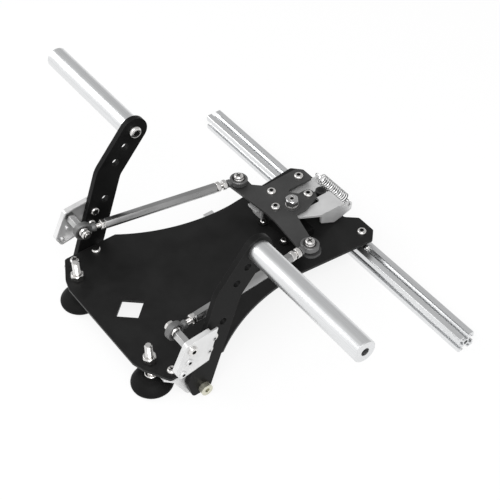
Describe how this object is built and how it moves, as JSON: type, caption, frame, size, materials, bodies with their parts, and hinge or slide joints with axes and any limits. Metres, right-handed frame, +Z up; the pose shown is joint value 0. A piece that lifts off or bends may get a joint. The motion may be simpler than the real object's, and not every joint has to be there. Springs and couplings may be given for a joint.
{
  "type": "flight simulator rudder pedals",
  "caption": "Flight simulator rudder pedals: foot bars on bent arms, a slotted crossbar, a black base plate on rubber feet, and push rods to a sprung crank plate.",
  "frame": {"origin": "on the floor, under the middle of the crossbar", "axes": "+X towards the user's right, +Y away from the user towards the rubber feet, +Z up"},
  "size_m": [0.531, 0.3166, 0.1755],
  "materials": {
    "aluminium": "satin",
    "black_metal": "satin",
    "zinc": "satin",
    "steel": "satin",
    "spring_steel": "polished",
    "chrome": "polished",
    "brass": "satin",
    "rubber": "matte",
    "rubber_sleeve": "matte",
    "black_plastic": "matte"
  },
  "bodies": {
    "base": {"crossbar": "aluminium", "crossbar_spacers": "black_metal", "crossbar_bolts": "zinc", "crossbar_t_nuts": "zinc", "base_plate": "black_metal", "foot_pads": "rubber", "foot_studs": "zinc", "pivot_brackets": "zinc", "bracket_screws": "zinc", "pivot_bolts": "zinc", "fixed_pin": "steel", "fixed_sleeve": "rubber_sleeve", "spring": "spring_steel", "pivot_housing": "black_metal", "pivot_post": "zinc", "sensor_bracket": "zinc", "electronics_box": "black_plastic", "lead_socket": "chrome"},
    "lever_left": {"lever_left": "zinc"},
    "lever_right": {"lever_right": "zinc"},
    "crank": {"crank_plate": "black_metal", "crank_bolts": "zinc", "drive_pin": "zinc", "drive_sleeve": "rubber_sleeve", "inner_ball_studs": "zinc"},
    "pedal_right": {"pedal_arm_right": "black_metal", "pivot_bush_right": "brass", "foot_bar_right": "aluminium", "foot_bar_bolt_right": "zinc", "rod_bracket_right": "zinc", "bracket_bolts_right": "zinc", "outer_ball_stud_right": "zinc"},
    "rod_right": {"outer_rod_end_right": "zinc", "inner_rod_end_right": "zinc", "rod_race_right": "brass", "push_rod_right": "zinc"},
    "pedal_left": {"pedal_arm_left": "black_metal", "pivot_bush_left": "brass", "foot_bar_left": "aluminium", "foot_bar_bolt_left": "zinc", "rod_bracket_left": "zinc", "bracket_bolts_left": "zinc", "outer_ball_stud_left": "zinc"},
    "rod_left": {"outer_rod_end_left": "zinc", "inner_rod_end_left": "zinc", "rod_race_left": "brass", "push_rod_left": "zinc"}
  },
  "joints": [
    {"name": "crank_swing", "type": "hinge", "parent": "base", "child": "crank", "pos_m": [0, 0.052, 0.06], "axis": [0, 0, 1], "range_deg": [-14, 14], "stiffness_Nm_per_rad": 1.2},
    {"name": "lever_left_swing", "type": "hinge", "parent": "base", "child": "lever_left", "pos_m": [0, 0.052, 0.06], "axis": [0, 0, 1], "range_deg": [-14, 0], "stiffness_Nm_per_rad": 1.2, "springref_deg": 20.05, "deforming": ["spring"]},
    {"name": "lever_right_swing", "type": "hinge", "parent": "base", "child": "lever_right", "pos_m": [0, 0.052, 0.06], "axis": [0, 0, 1], "range_deg": [0, 14], "stiffness_Nm_per_rad": 1.2, "springref_deg": -20.05, "deforming": ["spring"]},
    {"name": "pedal_right_swing", "type": "hinge", "parent": "base", "child": "pedal_right", "pos_m": [0.108, 0.247, 0.01], "axis": [1, 0, 0], "range_deg": [-11.98, 11.98]},
    {"name": "rod_right_swing", "type": "hinge", "parent": "crank", "child": "rod_right", "pos_m": [0.0633, 0.077, 0.0675], "axis": [0.0272, -0.214, 0.9764], "range_deg": [-16.03, 16.03]},
    {"name": "pedal_left_swing", "type": "hinge", "parent": "base", "child": "pedal_left", "pos_m": [-0.108, 0.247, 0.01], "axis": [1, 0, 0], "range_deg": [-11.98, 11.98]},
    {"name": "rod_left_swing", "type": "hinge", "parent": "crank", "child": "rod_left", "pos_m": [-0.0633, 0.077, 0.0675], "axis": [-0.0272, -0.214, 0.9764], "range_deg": [-16.03, 16.03]}
  ],
  "couplings": [
    {"joint": "pedal_right_swing", "follows": "crank_swing", "ratio": -0.8556},
    {"joint": "rod_right_swing", "follows": "crank_swing", "ratio": -1.1446},
    {"joint": "pedal_left_swing", "follows": "crank_swing", "ratio": 0.8556},
    {"joint": "rod_left_swing", "follows": "crank_swing", "ratio": -1.1446}
  ]
}
